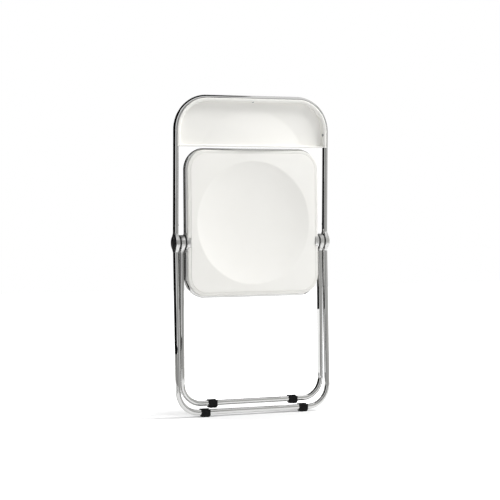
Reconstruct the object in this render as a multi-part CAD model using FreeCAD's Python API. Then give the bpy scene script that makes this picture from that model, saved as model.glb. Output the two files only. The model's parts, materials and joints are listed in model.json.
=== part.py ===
import FreeCAD, Part
import math
import os

from FreeCAD import Vector

# Folding chair, stood folded on its two front feet, in millimetres.
# +X is the sitter's right, +Y the way the sitter faces, +Z up.
# Three tube frames turn on one hub axis: the back hoop with the front legs,
# the rear legs between them, and the seat innermost.

# Tubes
TUBE_OD = 15.0
TUBE_WALL = 1.5
TUBE_SIDE_GAP = 1.0

# Frames, from the hub axis to the tube's centre line
FRAME_HALF_WIDTH = 227.5
FRONT_LEG_REACH = 464.0
SEAT_FRONT_REACH = 250.5
SEAT_REAR_REACH = 144.5
BACK_PANEL_HEIGHT = 133.0
SEAT_SWING_GAP = 5.0
FOOT_SWING_GAP = 0.7
BACK_BEND = 89.0
FRONT_LEG_BEND = 60.0
REAR_LEG_BEND = 56.0
SEAT_BEND = 52.0

# Angles in degrees
FRAME_BEND = 3.0
FOLD_LEAN = 0.9
REAR_LEG_SWING = 50.0
SEAT_SWING = 115.0
STOP_PIN_ANGLE = -90.0

# Hubs
HUB_DIAMETER = 42.0
HUB_CHAMFER = 1.0
NECK_LENGTH = 6.0
WASHER_THICKNESS = 3.8
WASHER_INSET = 1.0
AXIAL_PLAY = 0.1
SPIGOT_LENGTH = 30.0
RIVET_DIAMETER = 4.0
RIVET_LENGTH = 6.0
RIVET_EDGE = 9.0

# Pivots and stops
PIVOT_DIAMETER = 12.0
PIVOT_FACE_WALL = 3.5
BUSH_WALL = 1.5
STOP_PIN_DIAMETER = 5.0
STOP_PIN_SEAT = 7.0
STOP_CLEARANCE = 0.3
STOP_SLOT_DEPTH = 6.5
RECESS_DEPTH = 5.2
RECESS_WALL = 1.0
RECESS_CLEARANCE = 0.5
PIVOT_WASHER_THICKNESS = 1.2
PIVOT_SCREW_DIAMETER = 6.0
PIVOT_SCREW_LENGTH = 12.0
PIVOT_HEAD_DIAMETER = 11.0
PIVOT_HEAD_HEIGHT = 3.0

# Clearances
FIT = 0.05
PANEL_FIT = 0.3

# Moulded panels
SHELL = 3.5
SEAT_RISE = 10.0
SEAT_OVERHANG = 2.5
SEAT_EDGE_BAND = 9.0
SEAT_EDGE_DROP = 2.5
SEAT_SKIRT = 3.0
SEAT_SKIRT_DEPTH = 6.0
SEAT_NOTCH_GAP = 0.5
DISH_MARGIN = 25.5
SEAT_DISH_DEPTH = 12.0
RELIEF_DEPTH = 3.5
RELIEF_RUN = 14.0
RELIEF_HALF_WIDTH = 140.0
BACK_SHEET_SETBACK = 2.0
BACK_BULGE = 11.0
BULGE_MARGIN = 33.0
BACK_RIM_ROUND = 6.0
BACK_LIP = 9.5
BACK_LIP_RISE = 3.4

# Panel screws
SCREW_DIAMETER = 3.5
SCREW_LENGTH = 9.0
SCREW_HEAD_DIAMETER = 7.2
SCREW_HEAD_HEIGHT = 2.2
SCREW_SPOT_DEPTH = 0.8
SCREW_SPOT_GAP = 0.4
BACK_SCREW_TILT = 30.0
BACK_SCREW_RISE = 35.0
SEAT_SCREW_SPACING = 200.0
SEAT_SIDE_SCREW = 110.0

# Feet
FOOT_LENGTH = 25.0
FOOT_WALL = 2.3
FOOT_SOLE = 5.5
FOOT_FLAT = 14.0
FOOT_BEVEL = 5.5
FOOT_ROUND = 3.5
FOOT_SLIT = 5.0
FRONT_FOOT_SETBACK = 6.0
REAR_FOOT_SETBACK = 20.5

# Worked out from the sizes above
TUBE_R = TUBE_OD / 2
TUBE_BORE_R = TUBE_R - TUBE_WALL
SPIGOT_R = TUBE_BORE_R - FIT
HUB_PITCH = TUBE_OD + TUBE_SIDE_GAP
HUB_THICKNESS = HUB_PITCH - WASHER_THICKNESS - 2 * AXIAL_PLAY
HUB_R = HUB_DIAMETER / 2
NECK_REACH = HUB_R + NECK_LENGTH
WASHER_R = HUB_R - WASHER_INSET
PIVOT_R = PIVOT_DIAMETER / 2
BUSH_BORE_R = PIVOT_R + FIT
BUSH_R = BUSH_BORE_R + BUSH_WALL
STOP_PIN_R = STOP_PIN_DIAMETER / 2
STOP_RADIUS = (BUSH_R + HUB_R) / 2
RECESS_R = STOP_RADIUS - STOP_PIN_R - STOP_CLEARANCE - RECESS_WALL
MIDDLE_X = FRAME_HALF_WIDTH - HUB_PITCH
SEAT_X = MIDDLE_X - HUB_PITCH
BACK_PANEL_BOTTOM = SEAT_FRONT_REACH + TUBE_R + SEAT_SWING_GAP
BACK_REACH = BACK_PANEL_BOTTOM + BACK_PANEL_HEIGHT
REAR_LEG_REACH = FRONT_LEG_REACH - TUBE_OD - FOOT_SOLE - FOOT_WALL - FOOT_SWING_GAP
DISH_RADIUS = min(SEAT_X, (SEAT_FRONT_REACH + SEAT_REAR_REACH) / 2) - DISH_MARGIN
CHANNEL_R = TUBE_R + PANEL_FIT
RIM_R = CHANNEL_R + SHELL
RIVET_REACH = NECK_REACH + SPIGOT_LENGTH - RIVET_EDGE

# The seat and rear legs fold into the plane that halves the bend of the main frame.
BACK_TURN = FOLD_LEAN + FRAME_BEND / 2
FRONT_LEG_TURN = 180 + FOLD_LEAN - FRAME_BEND / 2
REAR_LEG_TURN = 180 + FOLD_LEAN
SEAT_TURN = FOLD_LEAN
SEAT_REAR_TURN = 180 + FOLD_LEAN

# The hub axis stands over the floor on the front feet, with the folded depth centred on the origin.
HUB_HEIGHT = -FRONT_LEG_REACH * math.cos(math.radians(FRONT_LEG_TURN)) + TUBE_R + FOOT_SOLE
REAR_DEPTH = BACK_REACH * math.sin(math.radians(BACK_TURN)) + RIM_R
HUB_Y = (REAR_DEPTH - HUB_R) / 2

ORIGIN = Vector(0, 0, 0)
X_AXIS = Vector(1, 0, 0)
Y_AXIS = Vector(0, 1, 0)
Z_AXIS = Vector(0, 0, 1)


def turned(shape, degrees):
    """A copy of the shape turned about the hub axis."""
    copy = shape.copy()
    copy.rotate(ORIGIN, X_AXIS, degrees)
    return copy


def moved(shape, x=0.0, y=0.0, z=0.0):
    """A copy of the shape moved from where it was made."""
    copy = shape.copy()
    copy.translate(Vector(x, y, z))
    return copy


def mirrored(shape):
    """The same piece on the other side of the chair."""
    return shape.mirror(ORIGIN, X_AXIS)


def rod(radius, start, end):
    """A round bar between two points."""
    run = end - start
    return Part.makeCylinder(radius, run.Length, start, run)


def polar(radius, degrees):
    """A point in the hub's plane: upward at 0 degrees and turning as the hubs do."""
    angle = math.radians(degrees)
    return Vector(0, -radius * math.sin(angle), radius * math.cos(angle))


def bent_wire(points, radius):
    """Straight runs through the points, with a tangent arc of one radius at each inner corner."""
    edges = []
    start = points[0]
    for before, corner, after in zip(points, points[1:], points[2:]):
        back = (before - corner).normalize()
        ahead = (after - corner).normalize()
        half_angle = back.getAngle(ahead) / 2
        setback = radius / math.tan(half_angle)
        crown = radius / math.sin(half_angle) - radius
        enter = corner + back * setback
        leave = corner + ahead * setback
        middle = corner + (back + ahead).normalize() * crown
        edges.append(Part.LineSegment(start, enter).toShape())
        edges.append(Part.Arc(enter, middle, leave).toShape())
        start = leave
    edges.append(Part.LineSegment(start, points[-1]).toShape())
    return Part.Wire(edges)


def hoop_wire(half_width, near, reach, bend):
    """The centre line of a U-shaped tube: up one side, across at the reach and down the other."""
    points = [
        Vector(-half_width, 0, near),
        Vector(-half_width, 0, reach),
        Vector(half_width, 0, reach),
        Vector(half_width, 0, near),
    ]
    return bent_wire(points, bend)


def sweep_round(path, radius):
    """A solid round bar along a path that starts upward."""
    start = path.OrderedVertexes[0].Point
    circle = Part.Wire(Part.Circle(start, Z_AXIS, radius).toShape())
    return path.makePipeShell([circle], True, False)


def rivet_holes(half_width):
    """The two rivets of a hoop, each through the inner side of its tube into the hub's spigot."""
    face = half_width - TUBE_R
    right = rod(
        RIVET_DIAMETER / 2,
        Vector(face, 0, RIVET_REACH),
        Vector(face + RIVET_LENGTH, 0, RIVET_REACH),
    )
    return [right, mirrored(right)]


def hoop_tube(half_width, reach, bend):
    """A bent tube that slides over the spigots of its two hubs, with a rivet hole in each leg."""
    path = hoop_wire(half_width, NECK_REACH, reach, bend)
    tube = sweep_round(path, TUBE_R).cut(sweep_round(path, TUBE_BORE_R))
    return tube.cut(rivet_holes(half_width))


def hub_disc():
    """The round hub body, on the hub axis and centred on X, with both rims chamfered."""
    half = HUB_THICKNESS / 2
    profile = [
        Vector(-half, 0, 0),
        Vector(-half, 0, HUB_R - HUB_CHAMFER),
        Vector(HUB_CHAMFER - half, 0, HUB_R),
        Vector(half - HUB_CHAMFER, 0, HUB_R),
        Vector(half, 0, HUB_R - HUB_CHAMFER),
        Vector(half, 0, 0),
        Vector(-half, 0, 0),
    ]
    return Part.Face(Part.makePolygon(profile)).revolve(ORIGIN, X_AXIS, 360)


def hub_neck():
    """The tapering web from the disc to the tube, the round collar the tube butts on, and the spigot."""
    corner = math.hypot(TUBE_R, NECK_REACH)
    tangent = math.atan2(TUBE_R, NECK_REACH) + math.acos(HUB_R / corner)
    side = HUB_R * math.sin(tangent)
    rise = HUB_R * math.cos(tangent)
    half = HUB_THICKNESS / 2 - HUB_CHAMFER
    outline = [
        Vector(-half, -side, rise),
        Vector(-half, -TUBE_R, NECK_REACH),
        Vector(-half, TUBE_R, NECK_REACH),
        Vector(-half, side, rise),
        Vector(-half, -side, rise),
    ]
    web = Part.Face(Part.makePolygon(outline)).extrude(Vector(2 * half, 0, 0))
    collar = rod(TUBE_R, Vector(0, 0, HUB_R), Vector(0, 0, NECK_REACH))
    spigot = rod(SPIGOT_R, Vector(0, 0, HUB_R), Vector(0, 0, NECK_REACH + SPIGOT_LENGTH))
    hole = rod(
        RIVET_DIAMETER / 2,
        Vector(-TUBE_R, 0, RIVET_REACH),
        Vector(RIVET_LENGTH - TUBE_R, 0, RIVET_REACH),
    )
    return web.fuse([collar, spigot]).cut(hole)


def hub_blank(neck_turns):
    """A hub body with one neck for each tube that it carries."""
    necks = [turned(hub_neck(), degrees) for degrees in neck_turns]
    return hub_disc().fuse(necks).removeSplitter()


def stop_slot(swing, depth):
    """The curved slot that a hub turns along the stop pin, from the X plane outward by its depth."""
    radius = STOP_PIN_R + STOP_CLEARANCE
    first = STOP_PIN_ANGLE
    last = STOP_PIN_ANGLE + swing
    middle = (first + last) / 2
    outer = STOP_RADIUS + radius
    inner = STOP_RADIUS - radius
    cap = math.degrees(radius / STOP_RADIUS)
    edges = [
        Part.Arc(polar(outer, first), polar(outer, middle), polar(outer, last)).toShape(),
        Part.Arc(polar(outer, last), polar(STOP_RADIUS, last + cap), polar(inner, last)).toShape(),
        Part.Arc(polar(inner, last), polar(inner, middle), polar(inner, first)).toShape(),
        Part.Arc(polar(inner, first), polar(STOP_RADIUS, first - cap), polar(outer, first)).toShape(),
    ]
    return Part.Face(Part.Wire(edges)).extrude(Vector(depth, 0, 0))


def stop_axis(x):
    """The stop pin's centre at a place along the hub axis."""
    return polar(STOP_RADIUS, STOP_PIN_ANGLE) + Vector(x, 0, 0)


# Places along the hub axis on the right-hand side
OUTER_FACE_IN = FRAME_HALF_WIDTH - HUB_THICKNESS / 2
INNER_FACE_IN = SEAT_X - HUB_THICKNESS / 2
INNER_FACE_OUT = SEAT_X + HUB_THICKNESS / 2
RECESS_FLOOR = INNER_FACE_IN + RECESS_DEPTH
PIVOT_START = RECESS_FLOOR - AXIAL_PLAY
PIVOT_END = FRAME_HALF_WIDTH + HUB_THICKNESS / 2 - PIVOT_FACE_WALL
STOP_PIN_START = INNER_FACE_OUT - STOP_SLOT_DEPTH + STOP_CLEARANCE
STOP_PIN_END = OUTER_FACE_IN + STOP_PIN_SEAT


def axle(radius, start, end):
    """A bar on the hub axis between two places along it."""
    return rod(radius, Vector(start, 0, 0), Vector(end, 0, 0))


def outer_hub():
    """The main frame's hub, closed outside, with blind bores for the pivot and the stop pin."""
    blank = moved(hub_blank([BACK_TURN, FRONT_LEG_TURN]), FRAME_HALF_WIDTH)
    pivot_bore = axle(PIVOT_R + FIT, OUTER_FACE_IN, PIVOT_END + FIT)
    stop_bore = rod(STOP_PIN_R + FIT, stop_axis(OUTER_FACE_IN), stop_axis(STOP_PIN_END + FIT))
    return blank.cut([pivot_bore, stop_bore])


def middle_hub():
    """The rear legs' hub: the stop pin passes right through its slot."""
    blank = moved(hub_blank([REAR_LEG_TURN]), MIDDLE_X)
    near = MIDDLE_X - HUB_THICKNESS / 2
    bore = axle(BUSH_R + FIT, near, near + HUB_THICKNESS)
    return blank.cut([bore, moved(stop_slot(REAR_LEG_SWING, HUB_THICKNESS), near)])


def inner_hub():
    """The seat's hub, with a blind stop slot outside and a recess for the pivot screw inside."""
    blank = moved(hub_blank([SEAT_TURN, SEAT_REAR_TURN]), SEAT_X)
    bore = axle(BUSH_R + FIT, INNER_FACE_IN, INNER_FACE_OUT)
    recess = axle(RECESS_R, INNER_FACE_IN, RECESS_FLOOR)
    slot = moved(stop_slot(SEAT_SWING, STOP_SLOT_DEPTH), INNER_FACE_OUT - STOP_SLOT_DEPTH)
    return blank.cut([bore, recess, slot])


def bush(start, end):
    """A plain sleeve that lines a hub's bore and turns on the pivot."""
    return axle(BUSH_R, start, end).cut(axle(BUSH_BORE_R, start, end))


def middle_bush():
    half = HUB_THICKNESS / 2
    return bush(MIDDLE_X - half, MIDDLE_X + half)


def inner_bush():
    return bush(RECESS_FLOOR, INNER_FACE_OUT)


def pivot_pin():
    """The fixed pivot, pressed into the outer hub and tapped for its screw at the inner end."""
    tapped = axle(PIVOT_SCREW_DIAMETER / 2 + FIT, PIVOT_START, PIVOT_START + PIVOT_SCREW_LENGTH + FIT)
    return axle(PIVOT_R, PIVOT_START, PIVOT_END).cut(tapped)


def pivot_washer():
    """The disc under the pivot screw's head that keeps the hubs on the pivot."""
    start = PIVOT_START - PIVOT_WASHER_THICKNESS
    ring = axle(RECESS_R - RECESS_CLEARANCE, start, PIVOT_START)
    return ring.cut(axle(PIVOT_SCREW_DIAMETER / 2 + FIT, start, PIVOT_START))


def pivot_screw():
    seat = PIVOT_START - PIVOT_WASHER_THICKNESS
    head = axle(PIVOT_HEAD_DIAMETER / 2, seat - PIVOT_HEAD_HEIGHT, seat)
    shank = axle(PIVOT_SCREW_DIAMETER / 2, seat, PIVOT_START + PIVOT_SCREW_LENGTH)
    return head.fuse(shank).removeSplitter()


def stop_pin():
    return rod(STOP_PIN_R, stop_axis(STOP_PIN_START), stop_axis(STOP_PIN_END))


def friction_washer(hub_x):
    """The thick washer outside a hub, kept from turning by the stop pin through it."""
    start = hub_x + HUB_THICKNESS / 2 + AXIAL_PLAY
    end = start + WASHER_THICKNESS
    bore = axle(PIVOT_R + FIT, start, end)
    pin_hole = rod(STOP_PIN_R + FIT, stop_axis(start), stop_axis(end))
    return axle(WASHER_R, start, end).cut([bore, pin_hole])


def rivets(half_width, turns):
    """The rivets that fix the hoops of one frame to their hubs."""
    solids = []
    for degrees in turns:
        solids += [turned(rivet, degrees) for rivet in rivet_holes(half_width)]
    return Part.makeCompound(solids)


def seat_outline(inset, y):
    """The rounded outline of the seat, inset from the centre line of its tube."""
    side = SEAT_X - inset
    front = SEAT_FRONT_REACH - inset
    rear = inset - SEAT_REAR_REACH
    points = [
        Vector(0, y, front),
        Vector(side, y, front),
        Vector(side, y, rear),
        Vector(-side, y, rear),
        Vector(-side, y, front),
        Vector(0, y, front),
    ]
    return bent_wire(points, SEAT_BEND - inset)


def seat_block(inset, start, end):
    """A block of the seat's outline from one depth to another."""
    return Part.Face(seat_outline(inset, start)).extrude(Vector(0, end - start, 0))


SEAT_FACE = -(TUBE_R + PANEL_FIT + SEAT_RISE)
SEAT_MIDDLE = (SEAT_FRONT_REACH - SEAT_REAR_REACH) / 2


def cap_radius(base_radius, height):
    """The radius of the ball whose cap has this base and height."""
    return (base_radius**2 + height**2) / (2 * height)


def seat_screw_axes():
    """Where each seat screw crosses the tube's centre line, and the way out towards the tube."""
    half = SEAT_SCREW_SPACING / 2
    places = []
    for sign in (-1, 1):
        places.append((Vector(sign * half, 0, SEAT_FRONT_REACH), Z_AXIS))
        places.append((Vector(sign * half, 0, -SEAT_REAR_REACH), -Z_AXIS))
        places.append((Vector(sign * SEAT_X, 0, SEAT_SIDE_SCREW), X_AXIS * sign))
    return places


def seat_relief():
    """The shallow scoop out of the middle of the front edge, cut by a large leaning cylinder."""
    radius = cap_radius(RELIEF_HALF_WIDTH, RELIEF_DEPTH)
    slope = Vector(0, -RELIEF_DEPTH, -RELIEF_RUN).normalize()
    square = Vector(0, -RELIEF_RUN, RELIEF_DEPTH).normalize()
    edge = Vector(0, SEAT_FACE + RELIEF_DEPTH, SEAT_FRONT_REACH + SEAT_OVERHANG)
    reach = 4 * RELIEF_RUN
    centre = edge + square * radius - slope * reach
    return Part.makeCylinder(radius, 2 * reach, centre, slope)


def seat_panel():
    """The moulded seat: a dished sheet, a thick rim on top of the tube and a skirt inside it."""
    shoulder = SEAT_FACE + SEAT_EDGE_DROP
    rim_inset = SEAT_EDGE_BAND - SEAT_OVERHANG
    skirt_inset = CHANNEL_R + SEAT_SKIRT
    rim = seat_block(-SEAT_OVERHANG, shoulder, -CHANNEL_R)
    crown = Part.makeLoft(
        [seat_outline(-SEAT_OVERHANG, shoulder), seat_outline(rim_inset, SEAT_FACE)], True, True
    )
    skirt = seat_block(CHANNEL_R, -CHANNEL_R, SEAT_SKIRT_DEPTH)
    pocket = seat_block(skirt_inset, SEAT_FACE + SHELL, SEAT_SKIRT_DEPTH)
    body = rim.fuse([crown, skirt]).cut(pocket)

    ball = cap_radius(DISH_RADIUS, SEAT_DISH_DEPTH)
    ball_centre = Vector(0, SEAT_FACE + SEAT_DISH_DEPTH - ball, SEAT_MIDDLE)
    bowl = Part.makeSphere(ball + SHELL, ball_centre).common(pocket)
    body = body.fuse(bowl).cut(Part.makeSphere(ball, ball_centre))

    notch_x = INNER_FACE_IN - SEAT_NOTCH_GAP
    notch_half = NECK_REACH + SEAT_NOTCH_GAP
    notch = Part.makeBox(
        2 * HUB_PITCH, SEAT_RISE, 2 * notch_half, Vector(notch_x, SEAT_FACE, -notch_half)
    )
    cuts = [seat_relief(), notch, mirrored(notch)]
    for centre, out in seat_screw_axes():
        cuts.append(rod(SCREW_DIAMETER / 2 + FIT, centre - out * 2 * skirt_inset, centre))
    return body.cut(cuts).removeSplitter()


def screw(seat_radius, centre, out):
    """A pan-head screw that points out from under its panel into the tube centred there."""
    seat = centre - out * seat_radius
    head = rod(SCREW_HEAD_DIAMETER / 2, seat - out * SCREW_HEAD_HEIGHT, seat)
    shank = rod(SCREW_DIAMETER / 2, seat, seat + out * SCREW_LENGTH)
    return head.fuse(shank).removeSplitter()


def seat_screws():
    seat_radius = CHANNEL_R + SEAT_SKIRT
    return [screw(seat_radius, centre, out) for centre, out in seat_screw_axes()]


def screw_holes(axes):
    """Clearance holes from inside a hoop to the middle of its tube."""
    return [rod(SCREW_DIAMETER / 2 + FIT, centre - out * TUBE_OD, centre) for centre, out in axes]


def back_wire(inset, y):
    """The open outline of the back panel, inset from the centre line of the back hoop."""
    wire = hoop_wire(FRAME_HALF_WIDTH - inset, BACK_PANEL_BOTTOM, BACK_REACH - inset, BACK_BEND - inset)
    return moved(wire, y=y)


def back_block(inset, start, end):
    """A block of the back panel's outline from one depth to another."""
    wire = back_wire(inset, start)
    ends = [wire.OrderedVertexes[-1].Point, wire.OrderedVertexes[0].Point]
    closed = Part.Wire(wire.Edges + [Part.LineSegment(*ends).toShape()])
    return Part.Face(closed).extrude(Vector(0, end - start, 0))


def back_rim():
    """The rim that cups the rear and inner quarter of the tube, swept along the hoop."""
    x = -FRAME_HALF_WIDTH
    z = BACK_PANEL_BOTTOM
    slant = math.sqrt(0.5)
    front = BACK_SHEET_SETBACK + SHELL
    flat = RIM_R - BACK_RIM_ROUND
    corner = flat + BACK_RIM_ROUND * slant

    def point(inset, y):
        return Vector(x + inset, y, z)

    edges = [
        Part.LineSegment(point(0, -RIM_R), point(flat, -RIM_R)).toShape(),
        Part.Arc(point(flat, -RIM_R), point(corner, -corner), point(RIM_R, -flat)).toShape(),
        Part.LineSegment(point(RIM_R, -flat), point(RIM_R, front)).toShape(),
        Part.LineSegment(point(RIM_R, front), point(CHANNEL_R, front)).toShape(),
        Part.LineSegment(point(CHANNEL_R, front), point(CHANNEL_R, 0)).toShape(),
        Part.Arc(
            point(CHANNEL_R, 0), point(CHANNEL_R * slant, -CHANNEL_R * slant), point(0, -CHANNEL_R)
        ).toShape(),
        Part.LineSegment(point(0, -CHANNEL_R), point(0, -RIM_R)).toShape(),
    ]
    path = hoop_wire(FRAME_HALF_WIDTH, BACK_PANEL_BOTTOM, BACK_REACH, BACK_BEND)
    return path.makePipeShell([Part.Wire(edges)], True, False)


def back_screw_axes():
    """The back screws at the top and both sides, leaning back so that they miss the sheet."""
    tilt = math.radians(BACK_SCREW_TILT)
    rear = Y_AXIS * math.sin(tilt)
    side_z = BACK_PANEL_BOTTOM + BACK_SCREW_RISE
    places = [(Vector(0, 0, BACK_REACH), Z_AXIS * math.cos(tilt) + rear)]
    for sign in (-1, 1):
        out = X_AXIS * (sign * math.cos(tilt)) + rear
        places.append((Vector(sign * FRAME_HALF_WIDTH, 0, side_z), out))
    return places


def back_lip(ball, ball_centre):
    """The stiffening lip along the lower edge, which stands out to the rear and follows the bulge."""
    half = FRAME_HALF_WIDTH - (CHANNEL_R + RIM_R) / 2
    front = BACK_SHEET_SETBACK + SHELL

    def slab(rear):
        return Part.makeBox(2 * half, front - rear, BACK_LIP_RISE, Vector(-half, rear, BACK_PANEL_BOTTOM))

    swell = Part.makeSphere(ball + BACK_LIP, ball_centre)
    return slab(BACK_SHEET_SETBACK - BACK_LIP).fuse(swell.common(slab(-BACK_BULGE - BACK_LIP)))


def back_panel():
    """The moulded backrest: a tray behind a sheet that bulges to the rear, rimmed by the tube."""
    front = BACK_SHEET_SETBACK + SHELL
    sheet = back_block(CHANNEL_R, BACK_SHEET_SETBACK, front)
    ball = cap_radius(DISH_RADIUS, BACK_BULGE)
    ball_centre = Vector(
        0, BACK_SHEET_SETBACK - BACK_BULGE + ball, BACK_REACH - BULGE_MARGIN - DISH_RADIUS
    )
    room = back_block(RIM_R, -RIM_R, front)
    bulge = Part.makeSphere(ball, ball_centre).common(room)
    body = back_rim().fuse([sheet, bulge, back_lip(ball, ball_centre)])
    cuts = [Part.makeSphere(ball - SHELL, ball_centre)]
    spot_radius = SCREW_HEAD_DIAMETER / 2 + SCREW_SPOT_GAP
    for centre, out in back_screw_axes():
        seat = centre - out * (RIM_R - SCREW_SPOT_DEPTH)
        cuts.append(rod(spot_radius, seat - out * SCREW_HEAD_HEIGHT * 2, seat))
        cuts.append(rod(SCREW_DIAMETER / 2 + FIT, seat, centre))
    return body.cut(cuts).removeSplitter()


def back_screws():
    seat_radius = RIM_R - SCREW_SPOT_DEPTH
    return [screw(seat_radius, centre, out) for centre, out in back_screw_axes()]


def foot():
    """A snap-on foot round a tube along X: a flat bevelled sole below and a slit on top."""
    half = FOOT_LENGTH / 2
    side = TUBE_R + FOOT_WALL
    bottom = -(TUBE_R + FOOT_SOLE)
    outline = [
        Vector(-half, -FOOT_FLAT / 2, bottom),
        Vector(-half, FOOT_FLAT / 2, bottom),
        Vector(-half, side, bottom + FOOT_BEVEL),
        Vector(-half, side, side),
        Vector(-half, -side, side),
        Vector(-half, -side, bottom + FOOT_BEVEL),
        Vector(-half, -FOOT_FLAT / 2, bottom),
    ]
    block = Part.Face(Part.makePolygon(outline)).extrude(Vector(FOOT_LENGTH, 0, 0))
    top_edges = [e for e in block.Edges if e.BoundBox.ZMin > side - FIT and e.BoundBox.YLength < FIT]
    block = block.makeFillet(FOOT_ROUND, top_edges)
    bore = rod(TUBE_R + FIT, Vector(-half, 0, 0), Vector(half, 0, 0))
    slit = Part.makeBox(FOOT_LENGTH, FOOT_SLIT, side, Vector(-half, -FOOT_SLIT / 2, 0))
    return block.cut([bore, slit])


def placed_foot(rail_end, setback, reach, turn, lean):
    """The right-hand foot on a cross rail, set back from the end of its straight run, and leaning or level."""
    rail = polar(reach, turn)
    return moved(turned(foot(), lean), rail_end - setback - FOOT_LENGTH / 2, rail.y, rail.z)


back_hoop = hoop_tube(FRAME_HALF_WIDTH, BACK_REACH, BACK_BEND).cut(screw_holes(back_screw_axes()))
seat_front = hoop_tube(SEAT_X, SEAT_FRONT_REACH, SEAT_BEND)
seat_rear = hoop_tube(SEAT_X, SEAT_REAR_REACH, SEAT_BEND)
front_screw_holes = screw_holes([axis for axis in seat_screw_axes() if axis[0].z > 0])
rear_screw_holes = screw_holes([axis for axis in seat_screw_axes() if axis[0].z < 0])

nodes = {
    "backrest_hoop": turned(back_hoop, BACK_TURN),
    "front_leg_hoop": turned(hoop_tube(FRAME_HALF_WIDTH, FRONT_LEG_REACH, FRONT_LEG_BEND), FRONT_LEG_TURN),
    "rear_leg_hoop": turned(hoop_tube(MIDDLE_X, REAR_LEG_REACH, REAR_LEG_BEND), REAR_LEG_TURN),
    "seat_front_hoop": turned(seat_front.cut(front_screw_holes), SEAT_TURN),
    "seat_rear_hoop": turned(turned(seat_rear, 180).cut(rear_screw_holes), SEAT_TURN),
    "back_panel": turned(back_panel(), BACK_TURN),
    "back_panel_screws": turned(Part.makeCompound(back_screws()), BACK_TURN),
    "seat_panel": turned(seat_panel(), SEAT_TURN),
    "seat_panel_screws": turned(Part.makeCompound(seat_screws()), SEAT_TURN),
    "frame_rivets": rivets(FRAME_HALF_WIDTH, [BACK_TURN, FRONT_LEG_TURN]),
    "rear_leg_rivets": rivets(MIDDLE_X, [REAR_LEG_TURN]),
    "seat_rivets": rivets(SEAT_X, [SEAT_TURN, SEAT_REAR_TURN]),
}

pairs = {
    "outer_hub": outer_hub(),
    "middle_hub": middle_hub(),
    "inner_hub": inner_hub(),
    "middle_bush": middle_bush(),
    "inner_bush": inner_bush(),
    "pivot_pin": pivot_pin(),
    "pivot_washer": pivot_washer(),
    "pivot_screw": pivot_screw(),
    "stop_pin": stop_pin(),
    "outer_friction_washer": friction_washer(MIDDLE_X),
    "inner_friction_washer": friction_washer(SEAT_X),
    "front_foot": placed_foot(
        FRAME_HALF_WIDTH - FRONT_LEG_BEND, FRONT_FOOT_SETBACK, FRONT_LEG_REACH, FRONT_LEG_TURN, 0
    ),
    "rear_foot": placed_foot(
        MIDDLE_X - REAR_LEG_BEND, REAR_FOOT_SETBACK, REAR_LEG_REACH, REAR_LEG_TURN, FOLD_LEAN
    ),
}
for name, shape in pairs.items():
    nodes[name + "_right"] = shape
    nodes[name + "_left"] = mirrored(shape)

os.makedirs("parts", exist_ok=True)
for name, shape in nodes.items():
    moved(shape, y=HUB_Y, z=HUB_HEIGHT).exportStep("parts/" + name + ".step")
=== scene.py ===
# %% [markdown]
# # A folding chair, stood folded
#
# The chair is three bent frames of chromed tube that turn on one axis, with a moulded white seat and
# a moulded white back. It stands folded on its two front feet and is seen from behind, a little from
# its left. The solid model gives every piece its place. This lesson dresses that model: each piece is
# made again as a smooth mesh where its polish or its soft edges need it, and gets its own finish.

# %% Load the solid model
import json
import math

import bmesh
import bpy
from mathutils import Matrix, Vector


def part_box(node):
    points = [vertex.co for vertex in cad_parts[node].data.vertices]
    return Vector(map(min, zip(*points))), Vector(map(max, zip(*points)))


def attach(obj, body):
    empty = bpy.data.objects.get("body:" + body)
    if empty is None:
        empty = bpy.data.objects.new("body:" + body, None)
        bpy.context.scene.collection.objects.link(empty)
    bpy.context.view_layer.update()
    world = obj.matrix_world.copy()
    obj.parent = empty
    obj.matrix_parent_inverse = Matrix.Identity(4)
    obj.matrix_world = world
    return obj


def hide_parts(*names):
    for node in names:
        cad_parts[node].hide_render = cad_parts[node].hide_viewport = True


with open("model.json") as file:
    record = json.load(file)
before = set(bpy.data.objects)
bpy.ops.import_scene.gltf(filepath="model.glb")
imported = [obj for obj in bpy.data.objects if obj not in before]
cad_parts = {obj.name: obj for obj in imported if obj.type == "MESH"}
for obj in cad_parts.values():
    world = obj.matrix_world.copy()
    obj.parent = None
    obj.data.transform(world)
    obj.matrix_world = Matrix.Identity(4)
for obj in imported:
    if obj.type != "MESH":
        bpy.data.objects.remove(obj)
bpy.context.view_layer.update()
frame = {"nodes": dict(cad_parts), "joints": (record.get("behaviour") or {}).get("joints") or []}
MM = 0.001
hub_axis = Vector(frame["joints"][0]["pos_m"]) / MM
print("hub axis in mm:", [round(value, 2) for value in hub_axis])

# %% [markdown]
# ## Measures
#
# The frames were bent from one size of tube, so half the chair follows from the tube and the width.
# The widths and reaches are read from the solid model, and only the bends and the small edges that
# the eye needs are written here, in millimetres. Each frame is drawn flat, with x across the chair,
# v square to the frame and w away from the hub axis, and is then turned to its own lean.

# %% Measures of the frames
TUBE_RADIUS = 7.5
TUBE_WALL = 1.5
BACK_BEND = 89.0
FRONT_LEG_BEND = 60.0
REAR_LEG_BEND = 56.0
SEAT_BEND = 52.0
BACK_LEAN = 2.4
FRONT_LEG_LEAN = 179.4
REAR_LEG_LEAN = 180.9
SEAT_LEAN = 0.9
SEAT_REAR_LEAN = 180.9
NECK_REACH = 27.0


def reach_of(node, lean):
    """How far a leaning hoop's centre line reaches from the hub axis, from the far side of its box."""
    low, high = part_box(node)
    up, down = high.z / MM - hub_axis.z, hub_axis.z - low.z / MM
    return (max(up, down) - TUBE_RADIUS) / abs(math.cos(math.radians(lean)))


def half_width_of(node):
    """Half the width of a hoop, between the centre lines of its legs."""
    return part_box(node)[1].x / MM - TUBE_RADIUS


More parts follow.
